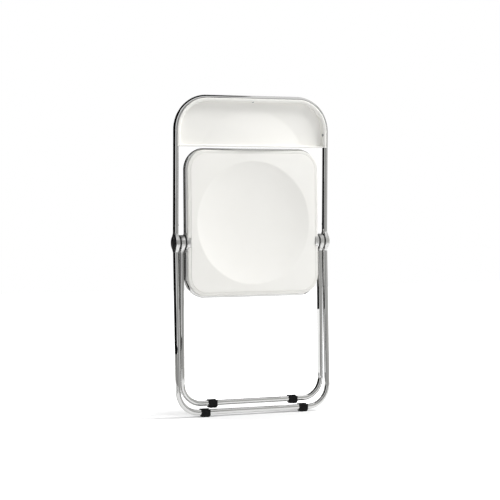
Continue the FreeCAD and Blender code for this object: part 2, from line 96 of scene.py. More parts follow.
frame_x = half_width_of("front_leg_hoop")
rear_x = half_width_of("rear_leg_hoop")
seat_x = half_width_of("seat_front_hoop")
back_reach = reach_of("backrest_hoop", BACK_LEAN)
front_leg_reach = reach_of("front_leg_hoop", FRONT_LEG_LEAN)
rear_leg_reach = reach_of("rear_leg_hoop", REAR_LEG_LEAN)
seat_front_reach = reach_of("seat_front_hoop", SEAT_LEAN)
seat_rear_reach = reach_of("seat_rear_hoop", SEAT_REAR_LEAN)
print("half widths:", [round(value, 2) for value in (frame_x, rear_x, seat_x)])
print("reaches:", [round(value, 2) for value in (back_reach, front_leg_reach, rear_leg_reach)])
print("seat reaches:", [round(value, 2) for value in (seat_front_reach, seat_rear_reach)])

# %% [markdown]
# ## Finishes
#
# The chair has few materials, so each has to look right. The tubes are steel with a bright nickel and
# chromium plate, the hubs are cast aluminium that was buffed, the panels are moulded ABS, feet and
# washers are black nylon, and the small fasteners are plated or blackened steel. A picture of each
# surface could be wrapped round the pieces, but a pattern worked out from a real size in millimetres
# stays sharp at any distance, so every finish is built from noise, through one helper that adds a node.

# %% Helpers for materials
WHITE = (1.0, 1.0, 1.0, 1.0)
BLACK = (0.0, 0.0, 0.0, 1.0)


def linear(hex_colour):
    """An sRGB hex colour as linear red, green, blue and alpha."""
    channels = [int(hex_colour[start : start + 2], 16) / 255 for start in (0, 2, 4)]
    bent = [c / 12.92 if c <= 0.04045 else ((c + 0.055) / 1.055) ** 2.4 for c in channels]
    return (*bent, 1.0)


def wire(tree, node, inputs):
    """Sets or links each named input of a node."""
    for name, value in inputs.items():
        if isinstance(value, bpy.types.NodeSocket):
            tree.links.new(value, node.inputs[name])
        else:
            node.inputs[name].default_value = value


def add(tree, kind, inputs, output=None, **settings):
    """Adds a shader node with its settings and links, and gives the node or its named output."""
    node = tree.nodes.new("ShaderNode" + kind)
    for name, value in settings.items():
        setattr(node, name, value)
    wire(tree, node, inputs)
    return node.outputs[output] if output else node


def per_metre(size_mm):
    """The texture scale that repeats a pattern every so many millimetres."""
    return 1.0 / (size_mm * MM)


def new_material(name):
    """An empty material: its tree, its shader and the place of a point on the piece."""
    material = bpy.data.materials.new(name)
    material.use_nodes = True
    tree = material.node_tree
    tree.nodes.clear()
    shader = add(tree, "BsdfPrincipled", {})
    add(tree, "OutputMaterial", {"Surface": shader.outputs["BSDF"]})
    return material, tree, shader, add(tree, "TexCoord", {}, "Object")


print("one pattern per millimetre has the scale", per_metre(1.0))

# %% [markdown]
# ### Chromed steel tube and buffed cast aluminium
#
# The tubes are bent from steel and plated with nickel and chromium, and the hubs are cast in aluminium
# and buffed on a wheel. A plain mirror could stand for both, but handled metal is never that even. So
# noise a few centimetres wide dulls the shine in patches, and a finer one lays the polishing lines.

# %% Bright metal
# Plating mirrors the room sharply, while buffed aluminium only catches a broad, soft shine. The
# polishing lines are drawn wider than real ones so that they show.
SMEAR_FADE = 0.94


def bright_metal(name, hex_colour, smear_mm, line_mm, dull):
    """Plated or buffed metal, with patches of smear and fine polishing lines."""
    material, tree, shader, place = new_material(name)
    smear = add(tree, "TexNoise", {"Vector": place, "Scale": per_metre(smear_mm), "Detail": 3.0}, "Fac")
    lines = add(tree, "TexNoise", {"Vector": place, "Scale": per_metre(line_mm), "Detail": 2.0}, "Fac")
    patches = {"Value": smear, "From Min": 0.35, "From Max": 0.7}
    shine = add(tree, "MapRange", patches | {"To Min": dull * 0.6, "To Max": dull * 1.5}, "Result")
    bright = linear(hex_colour)
    smeared = (*(channel * SMEAR_FADE for channel in bright[:3]), 1.0)
    tint = add(tree, "Mix", {"Factor": smear, "A": bright, "B": smeared}, "Result", data_type="RGBA")
    bump = add(tree, "Bump", {"Height": lines, "Strength": 0.02, "Distance": 0.02 * MM}, "Normal")
    wire(tree, shader, {"Metallic": 1.0, "Base Color": tint, "Roughness": shine, "Normal": bump})
    return material


tube_chrome = bright_metal("chromed_steel_tube", "D2D2D1", 40.0, 1.5, 0.035)
hub_metal = bright_metal("polished_cast_aluminium", "DADAD9", 18.0, 0.9, 0.4)
print("metal finishes:", tube_chrome.name, hub_metal.name)

# %% [markdown]
# ### White moulded ABS
#
# Both panels are injection moulded in a steel tool with a spark-eroded skin. A flat white would do from
# afar, but it looks like paint. So a wide, faint cloud stands for the way that the melt flowed, and a
# fine grain breaks up the shine. The band round the seat's edge has a coarser skin than the rest.

# %% White plastic
# The skin has a broad, satin highlight. The band round the seat's edge is rougher, and its colour is
# set a little darker. The real grain is near 0.3 mm and is drawn at 1.2 mm so that it shows.
PLASTIC_IOR = 1.53
CLOUD_MM = 90.0
GRAIN_MM = 1.2


def moulded_abs(name, hex_colour, hex_cloud, rough):
    """Satin plastic, with a faint cloud in its colour and a fine grain in its shine."""
    material, tree, shader, place = new_material(name)
    cloud = add(tree, "TexNoise", {"Vector": place, "Scale": per_metre(CLOUD_MM), "Detail": 2.0}, "Fac")
    grain = add(tree, "TexNoise", {"Vector": place, "Scale": per_metre(GRAIN_MM), "Detail": 2.0}, "Fac")
    colours = {"Factor": cloud, "A": linear(hex_colour), "B": linear(hex_cloud)}
    tint = add(tree, "Mix", colours, "Result", data_type="RGBA")
    spread = {"Value": grain, "To Min": rough - 0.05, "To Max": rough + 0.08}
    shine = add(tree, "MapRange", spread, "Result")
    bump = add(tree, "Bump", {"Height": grain, "Strength": 0.12, "Distance": 0.05 * MM}, "Normal")
    wire(tree, shader, {"IOR": PLASTIC_IOR, "Base Color": tint, "Roughness": shine, "Normal": bump})
    return material


white_abs = moulded_abs("white_moulded_abs", "F3F2EE", "F0EFEA", 0.42)
rim_abs = moulded_abs("white_moulded_abs_rim", "EBEAE6", "E8E7E2", 0.5)
print("panel finishes:", white_abs.name, rim_abs.name)

# %% [markdown]
# ### Black moulded nylon and pale bushes
#
# Feet and washers are moulded in black nylon, and the bushes inside the hubs in pale acetal. One dark
# colour would lose their shape, and a picture of the surface would stretch. So cells under a millimetre
# wide give the skin of an etched mould, and soft noise lightens the places that rub.

# %% Nylon
# Nylon is matt and a little grey where the mould was etched, with lighter rubbed patches. The feet
# have so dull an etch that they hardly shine at all.
RUBBED_MM = 7.0
ETCH_MM = 0.8


def moulded_nylon(name, hex_colour, hex_rubbed, rough, sheen=0.5):
    """Matt plastic from an etched mould, lighter where it is rubbed."""
    material, tree, shader, place = new_material(name)
    rubbed = add(tree, "TexNoise", {"Vector": place, "Scale": per_metre(RUBBED_MM), "Detail": 4.0}, "Fac")
    etch = add(tree, "TexVoronoi", {"Vector": place, "Scale": per_metre(ETCH_MM)}, "Distance")
    share = add(tree, "MapRange", {"Value": rubbed, "From Min": 0.5, "From Max": 0.8}, "Result")
    colours = {"Factor": share, "A": linear(hex_colour), "B": linear(hex_rubbed)}
    tint = add(tree, "Mix", colours, "Result", data_type="RGBA")
    spread = {"Value": rubbed, "To Min": rough + 0.08, "To Max": rough - 0.08}
    shine = add(tree, "MapRange", spread, "Result")
    bump = add(tree, "Bump", {"Height": etch, "Strength": 0.2, "Distance": 0.08 * MM}, "Normal")
    wire(tree, shader, {"IOR": PLASTIC_IOR, "Specular IOR Level": sheen})
    wire(tree, shader, {"Base Color": tint, "Roughness": shine, "Normal": bump})
    return material


foot_nylon = moulded_nylon("black_moulded_nylon_foot", "101011", "1A1A1B", 0.6, 0.12)
washer_nylon = moulded_nylon("black_nylon_washer", "141415", "202021", 0.42)
bush_nylon = moulded_nylon("pale_acetal_bush", "D9D5C6", "E2DFD2", 0.45)
print("nylon finishes:", foot_nylon.name, washer_nylon.name, bush_nylon.name)

# %% [markdown]
# ### Plated and blackened steel
#
# Screws and pins are zinc plated, and the rivets are blackened. They are small, so one grey would nearly
# do, but seen close up zinc shows its crystals. So each cell of a fine pattern gets its own tint, and the
# same function makes the darker rivets.

# %% Fastener steel
# Zinc is greyer and duller than chrome, with a fine spangle of crystals under a millimetre wide. The
# rivets show as small dark dots on the tubes.
SPANGLE_MM = 0.9


def plated_steel(name, hex_colour, hex_spangle):
    """Dull metal, with a spangle of small crystals."""
    material, tree, shader, place = new_material(name)
    spangle = add(tree, "TexVoronoi", {"Vector": place, "Scale": per_metre(SPANGLE_MM)})
    colours = {"Factor": spangle.outputs["Color"], "A": linear(hex_colour), "B": linear(hex_spangle)}
    tint = add(tree, "Mix", colours, "Result", data_type="RGBA")
    spread = {"Value": spangle.outputs["Distance"], "To Min": 0.28, "To Max": 0.42}
    shine = add(tree, "MapRange", spread, "Result")
    wire(tree, shader, {"Metallic": 1.0, "Base Color": tint, "Roughness": shine})
    return material


fastener_zinc = plated_steel("zinc_plated_steel", "A8AAAD", "BCBEC1")
rivet_steel = plated_steel("blackened_steel_rivet", "2C2D2E", "3A3B3C")
print("fastener finishes:", fastener_zinc.name, rivet_steel.name)

# %% [markdown]
# ## From points to pieces
#
# Every piece below starts as a list of points that is worked out from the measures. Blender's own
# primitives could be pushed about until they fit, but worked-out points keep every size. One helper
# gives a point of a flat frame its lean, two make a mesh whose creases stay sharp, one strings rings of
# points together with faces, and the last gives a piece its finish and its place in the model.

# %% Helpers that make a mesh
SMOOTH_BELOW = 35.0
WELD_MM = 0.002
SLIVER_MM = 0.001


def placed(x, v, w, lean):
    """A point of a flat frame, in metres, once the frame has its lean about the hub axis."""
    angle = math.radians(lean)
    y = v * math.cos(angle) - w * math.sin(angle)
    z = v * math.sin(angle) + w * math.cos(angle)
    return Vector((x, y + hub_axis.y, z + hub_axis.z)) * MM


def tidy_mesh(piece):
    """Welds seams, turns every face outward and sets which edges stay crisp."""
    shape = bmesh.new()
    shape.from_mesh(piece.data)
    bmesh.ops.remove_doubles(shape, verts=shape.verts, dist=WELD_MM * MM)
    bmesh.ops.dissolve_degenerate(shape, edges=shape.edges, dist=SLIVER_MM * MM)
    bmesh.ops.recalc_face_normals(shape, faces=shape.faces)
    shape.to_mesh(piece.data)
    shape.free()
    piece.data.shade_smooth()
    piece.data.set_sharp_from_angle(angle=math.radians(SMOOTH_BELOW))
    return piece


def mesh_piece(name, points, faces):
    """A smooth-shaded mesh object from points in metres, with its creases kept sharp."""
    mesh = bpy.data.meshes.new(name)
    mesh.from_pydata([tuple(point) for point in points], [], faces)
    piece = bpy.data.objects.new(name, mesh)
    bpy.context.scene.collection.objects.link(piece)
    return tidy_mesh(piece)


def ring_faces(rings, count, closed_rings=True, closed_stack=False):
    """Quads between stacked rings that have the same count of points."""
    faces = []
    last = rings if closed_stack else rings - 1
    span = count if closed_rings else count - 1
    for ring in range(last):
        here, above = ring * count, (ring + 1) % rings * count
        for step in range(span):
            after = (step + 1) % count
            faces.append((here + step, here + after, above + after, above + step))
    return faces


def finished(piece, body, slot, material, *nodes):
    """Gives a piece its finish, the frame it moves with and the solid pieces that it stands for."""
    piece.data.materials.clear()
    piece.data.materials.append(material)
    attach(piece, body)
    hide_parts(*nodes)
    print(piece.name, "has", len(piece.data.polygons), "faces")


top_of_back = placed(0, 0, back_reach, BACK_LEAN)
print("top of the back's centre line in m:", [round(value, 3) for value in top_of_back])

# %% [markdown]
# ## Chromed hoops
#
# Every hoop is one tube bent to a U in a bending machine: straight legs, two arcs of one radius and a
# straight cross run. A curve with a round bevel would be quick, but its rings bunch up where the line
# is straight. Here rings are set only where the line bends, so mirror reflections stay clean.

# %% Make the hoops
TUBE_SIDES = 48
BEND_STEPS = 30


def hoop_line(half_width, near, reach, bend):
    """Points of a U in (x, w), each with the direction that the tube runs there."""
    line = [(Vector((-half_width, near)), math.pi / 2)]
    for corner_x, first in ((-half_width + bend, math.pi), (half_width - bend, math.pi / 2)):
        for step in range(BEND_STEPS + 1):
            angle = first - math.pi / 2 * step / BEND_STEPS
            out = Vector((math.cos(angle), math.sin(angle)))
            line.append((Vector((corner_x, reach - bend)) + out * bend, angle - math.pi / 2))
    line.append((Vector((half_width, near)), -math.pi / 2))
    return line


def hoop(name, half_width, reach, bend, lean):
    """A bent tube with its wall, open at both ends where it slides over its hubs."""
    line = hoop_line(half_width, NECK_REACH, reach, bend)
    points = []
    for radius in (TUBE_RADIUS, TUBE_RADIUS - TUBE_WALL):
        stations = line if radius == TUBE_RADIUS else reversed(line)
        for centre, run in stations:
            side = Vector((math.sin(run), -math.cos(run)))
            for step in range(TUBE_SIDES):
                angle = 2 * math.pi * step / TUBE_SIDES
                across = centre + side * (radius * math.cos(angle))
                points.append(placed(across.x, radius * math.sin(angle), across.y, lean))
    faces = ring_faces(2 * len(line), TUBE_SIDES, closed_stack=True)
    return mesh_piece(name, points, faces)


hoops = (
    ("backrest_hoop", "main_frame", frame_x, back_reach, BACK_BEND, BACK_LEAN),
    ("front_leg_hoop", "main_frame", frame_x, front_leg_reach, FRONT_LEG_BEND, FRONT_LEG_LEAN),
    ("rear_leg_hoop", "rear_leg", rear_x, rear_leg_reach, REAR_LEG_BEND, REAR_LEG_LEAN),
    ("seat_front_hoop", "seat", seat_x, seat_front_reach, SEAT_BEND, SEAT_LEAN),
    ("seat_rear_hoop", "seat", seat_x, seat_rear_reach, SEAT_BEND, SEAT_REAR_LEAN),
)
for node, body, half_width, reach, bend, lean in hoops:
    tube = hoop("chromed_" + node, half_width, reach, bend, lean)
    finished(tube, body, "chromed_tube", tube_chrome, node)

# %% [markdown]
# ## Hubs and washers
#
# Each side of the chair has three cast and buffed discs on one pivot, with a thick black washer between
# each two. A disc carries a short tapering neck for every tube. A disc could be one turned shape, but
# the necks are not round, so disc, web and collar are made apart, with soft edges, and united. The
# middle and inner discs are bored for their bushes.

# %% Helpers that turn and loft
def rounded(corners, steps=5):
    """A drawn outline of (a, b, radius) corners with each corner replaced by an arc."""
    outline = []
    for index, (a, b, radius) in enumerate(corners):
        here = Vector((a, b))
        if radius == 0 or index in (0, len(corners) - 1):
            outline.append(here)
            continue
        back = (Vector(corners[index - 1][:2]) - here).normalized()
        ahead = (Vector(corners[index + 1][:2]) - here).normalized()
        half = back.angle(ahead) / 2
        setback = radius / math.tan(half)
        centre = here + (back + ahead).normalized() * (radius / math.sin(half))
        start, end = here + back * setback - centre, here + ahead * setback - centre
        sweep = start.angle_signed(end)
        for step in range(steps + 1):
            turn = Matrix.Rotation(-sweep * step / steps, 2)
            outline.append(centre + turn @ start)
    return outline


def lathe(name, outline, place, sides=64):
    """Turns an outline of (along, radius) about an axis, and place puts each (along, a, b) point."""
    points = []
    rings = []
    for along, radius in outline:
        first = len(points)
        count = sides if radius else 1
        for side in range(count):
            angle = 2 * math.pi * side / sides
            points.append(place(along, radius * math.cos(angle), radius * math.sin(angle)))
        rings.append([first + side % count for side in range(sides)])
    faces = []
    for below, above in zip(rings, rings[1:]):
        for side in range(sides):
            after = (side + 1) % sides
            corners = (below[side], below[after], above[after], above[side])
            faces.append(tuple(dict.fromkeys(corners)))
    return mesh_piece(name, points, faces)


def loft(name, rings):
    """A closed body through rings of points, with a flat cap at each end."""
    count = len(rings[0])
    last = (len(rings) - 1) * count
    caps = [tuple(range(count - 1, -1, -1)), tuple(range(last, last + count))]
    points = [point for ring in rings for point in ring]
    return mesh_piece(name, points, ring_faces(len(rings), count) + caps)


sample_corner = rounded([(0, 0, 0), (9, 0, 2), (9, 9, 0)])
print("a rounded corner takes", len(sample_corner) - 2, "points")

# %% Helpers that soften and unite
# Each modifier is applied at once, so that every piece ends as a plain mesh.
def settle(piece):
    """Applies the piece's modifiers to its mesh."""
    graph = bpy.context.evaluated_depsgraph_get()
    applied = bpy.data.meshes.new_from_object(piece.evaluated_get(graph))
    piece.modifiers.clear()
    piece.data = applied
    return tidy_mesh(piece)


def combine(piece, tools, operation):
    """Joins tools to a piece or cuts them out of it, and removes them."""
    for tool in tools:
        change = piece.modifiers.new("combine", "BOOLEAN")
        change.operation = operation
        change.solver = "EXACT"
        change.object = tool
    settle(piece)
    for tool in tools:
        bpy.data.objects.remove(tool)
    return piece


def soften(piece, width, steps=3):
    """Rounds every crisp edge by a width in millimetres."""
    bevel = piece.modifiers.new("soften", "BEVEL")
    bevel.width = width * MM
    bevel.segments = steps
    bevel.limit_method = "ANGLE"
    bevel.angle_limit = math.radians(SMOOTH_BELOW)
    return settle(piece)


print("edges that turn by more than", SMOOTH_BELOW, "degrees can be softened")

# %% Shape a hub
HUB_RADIUS = 21.0
HUB_THICKNESS = 12.0
HUB_EDGE = 1.4
WEB_HALF_THICKNESS = 5.0
HUB_SIDES = 96
HUB_HALF = HUB_THICKNESS / 2
COLLAR_SINK = 8.0
COLLAR_GROOVE = 0.4
WEB_EDGE = 0.8


def on_axis(x, sign):
    """Puts a turned shape on the hub axis, outward from x on one side of the chair."""
    return lambda along, a, b: Vector((sign * (x + along), hub_axis.y + a, hub_axis.z + b)) * MM


def hub_disc(name, x, sign):
    """The round body with both rims rounded."""
    rims = [(-HUB_HALF, HUB_RADIUS, HUB_EDGE), (HUB_HALF, HUB_RADIUS, HUB_EDGE)]
    outline = rounded([(-HUB_HALF, 0, 0)] + rims + [(HUB_HALF, 0, 0)])
    return lathe(name, outline, on_axis(x, sign), HUB_SIDES)


def hub_web(x, sign, lean):
    """The flat web that runs from the disc to the tube, tangent to the disc."""
    corner = math.hypot(TUBE_RADIUS, NECK_REACH)
    tangent = math.atan2(TUBE_RADIUS, NECK_REACH) + math.acos(HUB_RADIUS / corner)
    side, rise = HUB_RADIUS * math.sin(tangent), HUB_RADIUS * math.cos(tangent)
    outline = [(-side, rise), (-TUBE_RADIUS, NECK_REACH), (TUBE_RADIUS, NECK_REACH), (side, rise)]
    rings = []
    for across in (-WEB_HALF_THICKNESS, WEB_HALF_THICKNESS):
        rings.append([placed(sign * (x + across), v, w, lean) for v, w in outline])
    return soften(loft("web", rings), WEB_EDGE)


def hub_collar(x, sign, lean):
    """The round collar that the tube butts against, with a fine groove at the joint."""
    inside = HUB_RADIUS - COLLAR_SINK
    outline = [(inside, 0), (inside, TUBE_RADIUS), (NECK_REACH - COLLAR_GROOVE, TUBE_RADIUS)]
    outline += [(NECK_REACH, TUBE_RADIUS - COLLAR_GROOVE), (NECK_REACH, 0)]
    return lathe("collar", outline, lambda along, a, b: placed(sign * x + a, b, along, lean), TUBE_SIDES)


def hub(name, x, sign, leans):
    """A hub disc with a web and a collar for each tube that it carries."""
    disc = hub_disc(name, x, sign)
    tools = []
    for lean in leans:
        tools += [hub_web(x, sign, lean), hub_collar(x, sign, lean)]
    return combine(disc, tools, "UNION")


print("hub disc:", 2 * HUB_RADIUS, "mm across,", HUB_THICKNESS, "mm thick")

# %% Make the hubs
PIVOT_BORE = 7.6
RECESS_RADIUS = 10.75
RECESS_DEPTH = 5.2
BORE_PAST = 1.0
bore_start, recess_end = -HUB_HALF - BORE_PAST, RECESS_DEPTH - HUB_HALF
bore_end = [(HUB_HALF + BORE_PAST, PIVOT_BORE), (HUB_HALF + BORE_PAST, 0)]
recess = [(bore_start, RECESS_RADIUS), (recess_end, RECESS_RADIUS), (recess_end, PIVOT_BORE)]
hub_bores = {
    "middle_hub": [(bore_start, 0), (bore_start, PIVOT_BORE)] + bore_end,
    "inner_hub": [(bore_start, 0)] + recess + bore_end,
}
hub_sets = (
    ("outer_hub", "main_frame", frame_x, (BACK_LEAN, FRONT_LEG_LEAN)),
    ("middle_hub", "rear_leg", rear_x, (REAR_LEG_LEAN,)),
    ("inner_hub", "seat", seat_x, (SEAT_LEAN, SEAT_REAR_LEAN)),
)
sides = (("left", -1), ("right", 1))
for node, body, x, leans in hub_sets:
    for side_name, sign in sides:
        node_name = node + "_" + side_name
        piece = hub("polished_" + node_name, x, sign, leans)
        if node in hub_bores:
            combine(piece, [lathe("bore", hub_bores[node], on_axis(x, sign))], "DIFFERENCE")
        finished(piece, body, "polished_hub", hub_metal, node_name)

# %% Make the black washers between the hubs
WASHER_THICKNESS = 3.8
WASHER_RADIUS = 20.0
WASHER_EDGE = 0.6
PIVOT_RADIUS = 6.05

washer_start = (frame_x - rear_x - WASHER_THICKNESS) / 2
washer_end = washer_start + WASHER_THICKNESS
washer_rims = [(washer_start, WASHER_RADIUS, WASHER_EDGE), (washer_end, WASHER_RADIUS, WASHER_EDGE)]
washer_outline = rounded([(washer_start, PIVOT_RADIUS, 0)] + washer_rims + [(washer_end, PIVOT_RADIUS, 0)])
washer_outline.append(washer_outline[0])
for node, x in (("outer_friction_washer", rear_x), ("inner_friction_washer", seat_x)):
    for side_name, sign in sides:
        node_name = node + "_" + side_name
        washer = lathe("black_" + node_name, washer_outline, on_axis(x, sign), HUB_SIDES)
        finished(washer, "main_frame", "black_nylon", washer_nylon, node_name)

# %% [markdown]
# ## Seat panel
#
# The seat is one moulding: a thick rim that lies on the tube, a bevelled band round its edge, a flat
# field, a big round dish and a scooped front edge, with a skirt underneath. Its outline is the tube's
# own. A grid could be pressed into shape, but its edge would be ragged, so the rim is a section
# carried round that outline, and the field and dish are rings that shrink to the middle. A plain
# height rule then presses the dish and the scoop into the rings.

# %% Lay out the seat panel
SHELL = 3.5
PANEL_FIT = 0.3
CHANNEL = TUBE_RADIUS + PANEL_FIT
SEAT_RISE = 10.0
SEAT_FACE = -(CHANNEL + SEAT_RISE)
SEAT_OVERHANG = 2.5
SEAT_BAND = 9.0
SEAT_GROOVE = 0.9
SEAT_BAND_DROP = 0.4
SEAT_BAND_FALL = 0.1
SKIRT = 3.0
SKIRT_DEPTH = 6.0
FIELD_INSET = 16.0
DISH_RADIUS = 170.0
DISH_DEPTH = 11.0
DISH_CURVE = 2.5
DISH_SOFTNESS = 0.15
SCOOP_DEPTH = 3.0
SCOOP_RUN = 14.0
SCOOP_HALF_WIDTH = 145.0
ARC_STEPS = 14
RUN_STEPS = 30
dish_centre = (seat_front_reach - seat_rear_reach) / 2


def soft_step(value, softness):
    """The value where it is positive and nothing where it is not, with a soft turn between."""
    if value > 30 * softness:
        return value
    return softness * math.log1p(math.exp(value / softness))


def seat_stations():
    """The inner rectangle of the seat outline, with the outward direction at each point of it."""
    half, front, rear = seat_x - SEAT_BEND, seat_front_reach - SEAT_BEND, SEAT_BEND - seat_rear_reach
    corners = [Vector((half, front)), Vector((-half, front)), Vector((-half, rear)), Vector((half, rear))]
    stations = []
    for index, corner in enumerate(corners):
        for step in range(ARC_STEPS + 1):
            angle = math.pi / 2 * (index + step / ARC_STEPS)
            stations.append((corner, Vector((math.cos(angle), math.sin(angle)))))
        after = corners[(index + 1) % 4]
        for step in range(1, RUN_STEPS):
            stations.append((corner.lerp(after, step / RUN_STEPS), stations[-1][1]))
    return stations


def seat_height(x, w):
    """How deep the dish and the scoop press the seat's face in at a point."""
    radius = math.hypot(x, w - dish_centre)
    dish = soft_step(DISH_DEPTH * (1 - (radius / DISH_RADIUS) ** DISH_CURVE), DISH_SOFTNESS)
    edge = seat_front_reach + SEAT_OVERHANG
    along = max(0.0, 1 - (x / SCOOP_HALF_WIDTH) ** 2)
    across = max(0.0, 1 - (edge - w) / SCOOP_RUN)
    return dish, SCOOP_DEPTH * along * across**1.5


print("seat outline:", len(seat_stations()), "points; dish:", DISH_DEPTH, "mm deep")

# %% Draw the section of the seat's rim
GROOVE_EDGE = 0.3
GROOVE_FLOOR = 0.15
RIM_TOP = 1.8
RIM_FOOT = 0.6
CHANNEL_EDGE = 0.4
SKIRT_EDGE = 0.8
SKIRT_ROOT = 2.0


def rim_section():
    """The rim's outline as (inset, depth), from the field over the band and the tube to the underside."""
    band_in = SEAT_BAND - SEAT_OVERHANG
    band_level = SEAT_FACE + SEAT_BAND_DROP
    skirt_in = CHANNEL + SKIRT
    return rounded(
        [
            (FIELD_INSET, SEAT_FACE, 0),
            (band_in + SEAT_GROOVE, SEAT_FACE, GROOVE_EDGE),
            (band_in + SEAT_GROOVE / 3, SEAT_FACE + SEAT_GROOVE, GROOVE_FLOOR),
            (band_in - SEAT_GROOVE / 3, SEAT_FACE + SEAT_GROOVE, GROOVE_FLOOR),
            (band_in - SEAT_GROOVE, band_level, GROOVE_EDGE),
            (-SEAT_OVERHANG, band_level + SEAT_BAND_FALL, RIM_TOP),
            (-SEAT_OVERHANG, -CHANNEL, RIM_FOOT),
            (CHANNEL, -CHANNEL, CHANNEL_EDGE),
            (CHANNEL, SKIRT_DEPTH, SKIRT_EDGE),
            (skirt_in, SKIRT_DEPTH, SKIRT_EDGE),
            (skirt_in, SEAT_FACE + SHELL, SKIRT_ROOT),
            (FIELD_INSET, SEAT_FACE + SHELL, 0),
        ]
    )


print("rim section:", len(rim_section()), "points")

# %% Loft the seat panel
DISH_EDGE = 4.0
FIELD_RINGS = 12
EDGE_RINGS = 8
DISH_RINGS = 32


def field(inner, level):
    """Rings from the rim's section to the middle of the dish, on one face of the sheet."""
    middle = Vector((0, dish_centre))
    high, low = DISH_RADIUS + DISH_EDGE, DISH_RADIUS - DISH_EDGE
    radii = [high + (low - high) * step / EDGE_RINGS for step in range(EDGE_RINGS)]
    radii += [low - low * step / DISH_RINGS for step in range(DISH_RINGS)]
    spokes = [(point - middle).normalized() for point in inner]
    flats = []
    for step in range(1, FIELD_RINGS):
        share = step / FIELD_RINGS
        flats.append([point.lerp(middle + out * high, share) for point, out in zip(inner, spokes)])
    flats += [[middle + out * radius for out in spokes] for radius in radii]
    return [[(spot.x, level + sum(seat_height(*spot)), spot.y) for spot in flat] for flat in flats]


def seat_panel():
    """The rim carried round the seat, with both faces of the sheet closed inside it."""
    stations = seat_stations()
    section = rim_section()
    under = len(section) // 2
    rings = []
    for index, (inset, depth) in enumerate(section):
        ring = []
        for base, out in stations:
            x, w = base + out * (SEAT_BEND - inset)
            pressed = SEAT_FACE + seat_height(x, w)[1]
            ring.append((x, max(depth, pressed) if index < under else depth, w))
        rings.append(ring)
    inner = [base + out * (SEAT_BEND - FIELD_INSET) for base, out in stations]
    top, bottom = field(inner, SEAT_FACE), field(inner, SEAT_FACE + SHELL)
    skin = top[::-1] + rings + bottom
    count = len(stations)
    points = [placed(*spot, SEAT_LEAN) for ring in skin for spot in ring]
    faces = ring_faces(len(skin), count)
    for level, first in ((SEAT_FACE, 0), (SEAT_FACE + SHELL, (len(skin) - 1) * count)):
        middle_point = len(points)
        points.append(placed(0, level + seat_height(0, dish_centre)[0], dish_centre, SEAT_LEAN))
        faces += [(middle_point, first + step, first + (step + 1) % count) for step in range(count)]
    return mesh_piece("moulded_seat_panel", points, faces)


seat_shell = seat_panel()
print("seat panel lofted with", len(seat_shell.data.vertices), "points")

# %% Cut the notches for the hubs and finish the seat
NOTCH_GAP = 0.6
NOTCH_STEPS = 24
NOTCH_WIDTH = 20.0
RIM_CLEAR = 0.5


def hub_notch(sign):
    """The shape of the inner hub and its necks, a little larger, which is cut from the rim."""
    near = seat_x - HUB_HALF - NOTCH_GAP
    radius, half, reach = (size + NOTCH_GAP for size in (HUB_RADIUS, TUBE_RADIUS, NECK_REACH))
    tangent = math.atan2(half, reach) + math.acos(radius / math.hypot(half, reach))
    outline = []
    for turn in (0.0, math.pi):
        outline.append((half * math.cos(turn), reach * math.cos(turn)))
        for step in range(NOTCH_STEPS + 1):
            angle = turn + tangent + (math.pi - 2 * tangent) * step / NOTCH_STEPS
            outline.append((radius * math.sin(angle), radius * math.cos(angle)))
        outline.append((half * math.cos(turn), -reach * math.cos(turn)))
    ends = (near, near + NOTCH_WIDTH)
    return loft("notch", [[placed(sign * x, v, w, SEAT_LEAN) for v, w in outline] for x in ends])


def paint_rim(shell):
    """Gives the band round the seat's edge its rougher material, whose colour is set a little darker."""
    shell.data.materials.append(rim_abs)
    half_x, half_w = seat_x - SEAT_BEND, (seat_front_reach + seat_rear_reach) / 2 - SEAT_BEND
    lean = Matrix.Rotation(math.radians(-SEAT_LEAN), 3, "X")
    painted = 0
    for face in shell.data.polygons:
        flat = lean @ (face.center / MM - hub_axis)
        beyond = Vector((max(abs(flat.x) - half_x, 0), max(abs(flat.z - dish_centre) - half_w, 0)))
        inset = SEAT_BEND - beyond.length
        if inset < SEAT_BAND - SEAT_OVERHANG + SEAT_GROOVE and flat.y < -CHANNEL - RIM_CLEAR:
            face.material_index = 1
            painted += 1
    return painted


combine(seat_shell, [hub_notch(-1), hub_notch(1)], "DIFFERENCE")
finished(seat_shell, "seat", "white_plastic", white_abs, "seat_panel")
print(paint_rim(seat_shell), "faces of the seat lie on its rim")

# %% [markdown]
# ## Back panel
#
# The back is a shallow tray inside the top of the back hoop. Its rim cups the rear and inner quarter
# of the tube, its sheet closes the hoop, a round bulge in the sheet swells to the rear, and a bead
# stiffens the straight lower edge. A thickened sheet could give most of it, but not the cup round the
# tube. So the rim is a section carried along the hoop, the sheet is a patch stretched between the rim
# and the lower edge, so that the two share their points, a height rule raises the bulge, and the bead
# is united with the rest.

# %% Lay out the back panel
BACK_PANEL_HEIGHT = 133.0
SHEET_SETBACK = 2.0
SHEET_FILLET = 2.0
RIM_ROUND = 6.0
RIM_EDGE = 1.0
BULGE_HEIGHT = 11.0
BULGE_MARGIN = 33.0
BULGE_SOFTNESS = 0.15
LEG_STEPS = 44
BACK_ARC_STEPS = 44
CROWN_STEPS = 90
QUARTER_STEPS = 10
panel_bottom = back_reach - BACK_PANEL_HEIGHT
bulge_centre = back_reach - BULGE_MARGIN - DISH_RADIUS


